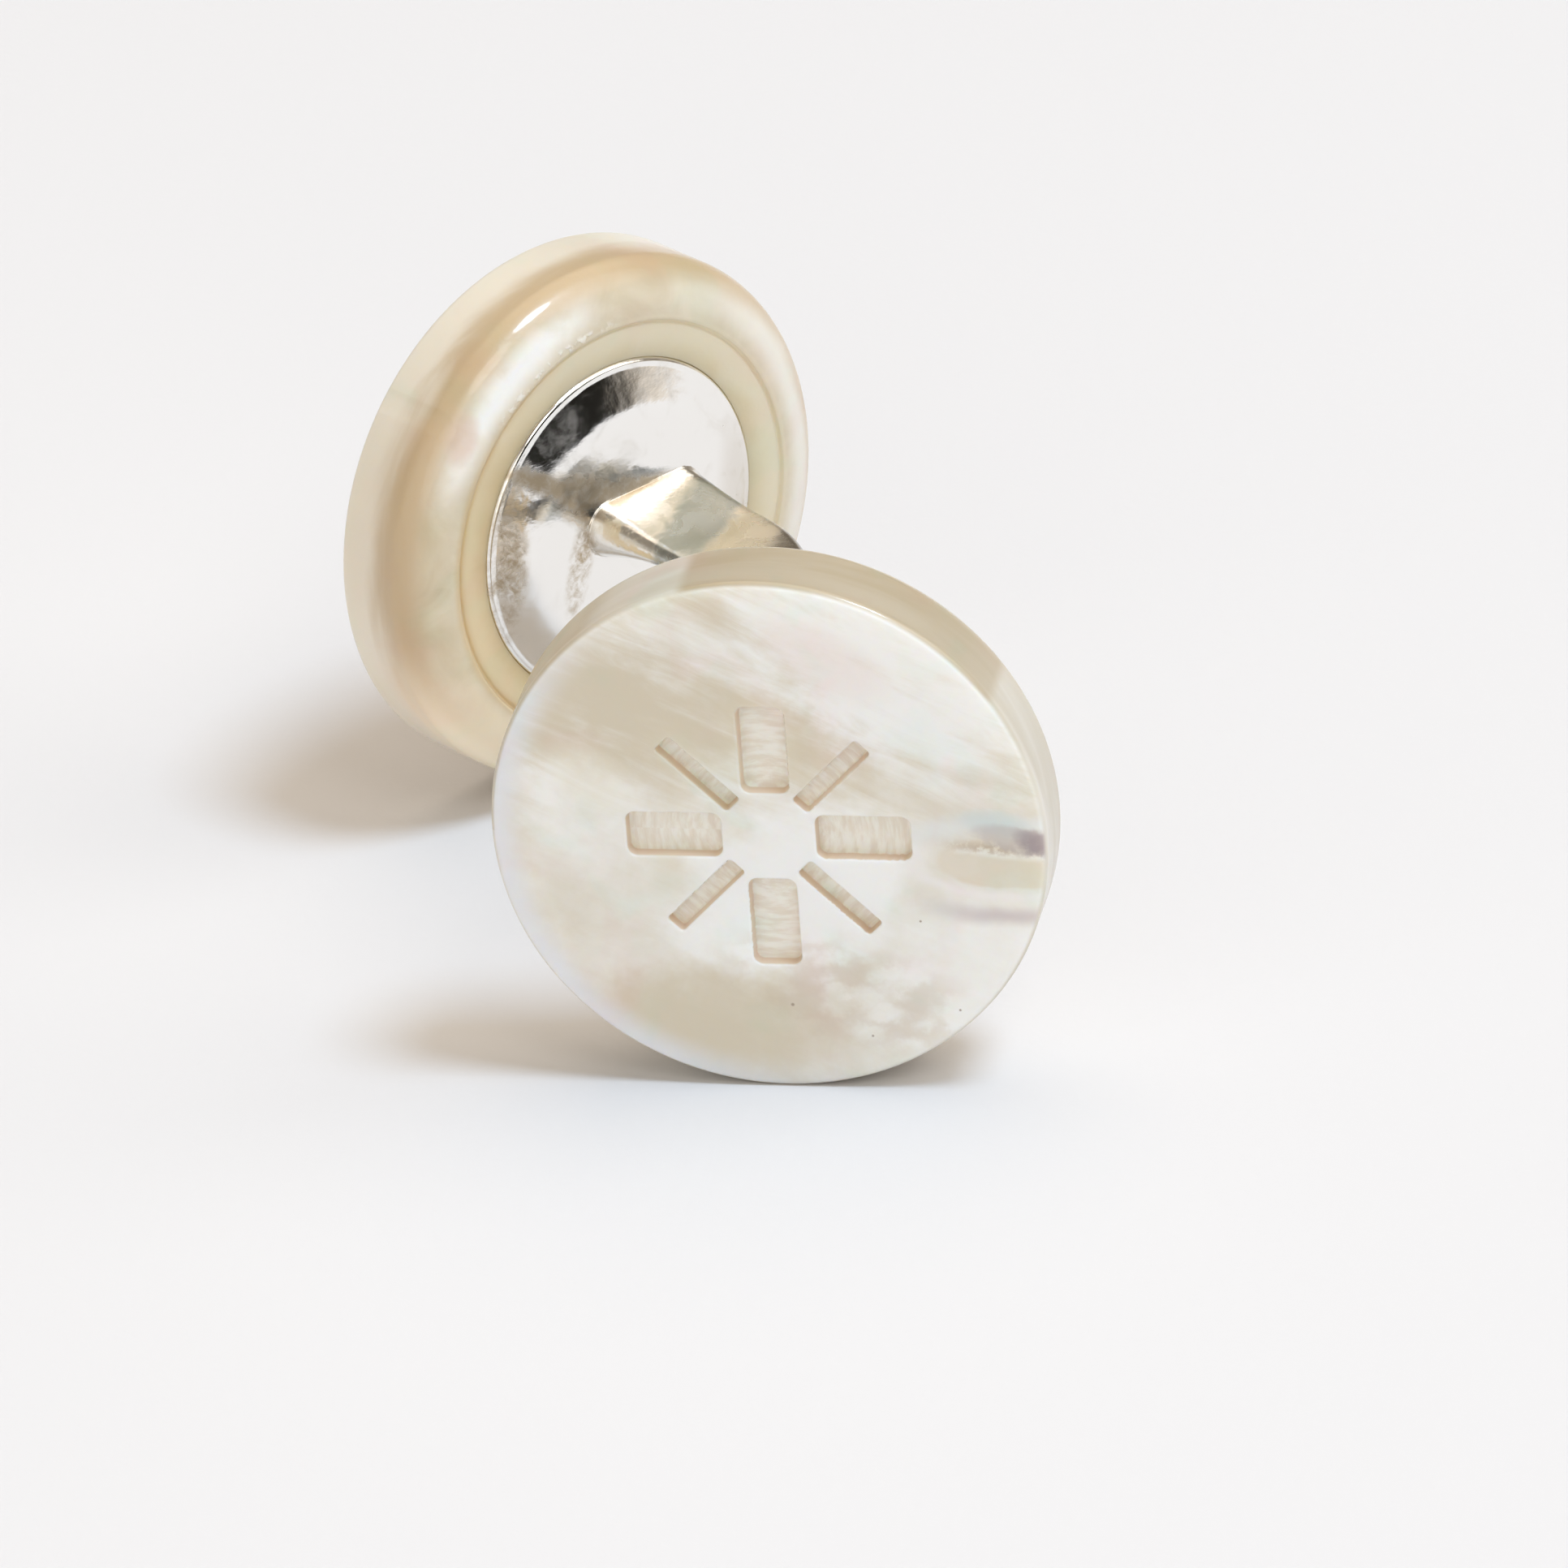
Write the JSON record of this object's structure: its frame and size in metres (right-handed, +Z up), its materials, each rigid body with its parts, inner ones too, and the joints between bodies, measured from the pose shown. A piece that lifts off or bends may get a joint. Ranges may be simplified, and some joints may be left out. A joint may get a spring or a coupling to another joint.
{
  "type": "double-sided cufflink",
  "caption": "Double-sided cufflink: round mother-of-pearl discs on silver plates, joined by a curved silver bar, with an engraved sunburst on the front face.",
  "frame": {"origin": "centre of the footprint, on the surface that the rims of both discs rest on", "axes": "+Z up; +Y from the engraved front disc to the back disc; the bar bulges towards +X and both faces turn a little towards -X"},
  "size_m": [0.0156, 0.0306, 0.016],
  "materials": {
    "pearl_front": "polished mother-of-pearl with cloudy bands and a natural inclusion",
    "pearl_back": "polished mother-of-pearl, warmer and more even",
    "silver": "hand-polished silver with faint tarnish"
  },
  "bodies": {
    "root": {"front_disc": "pearl_front", "back_disc": "pearl_back", "link_bar": "silver"}
  },
  "joints": []
}
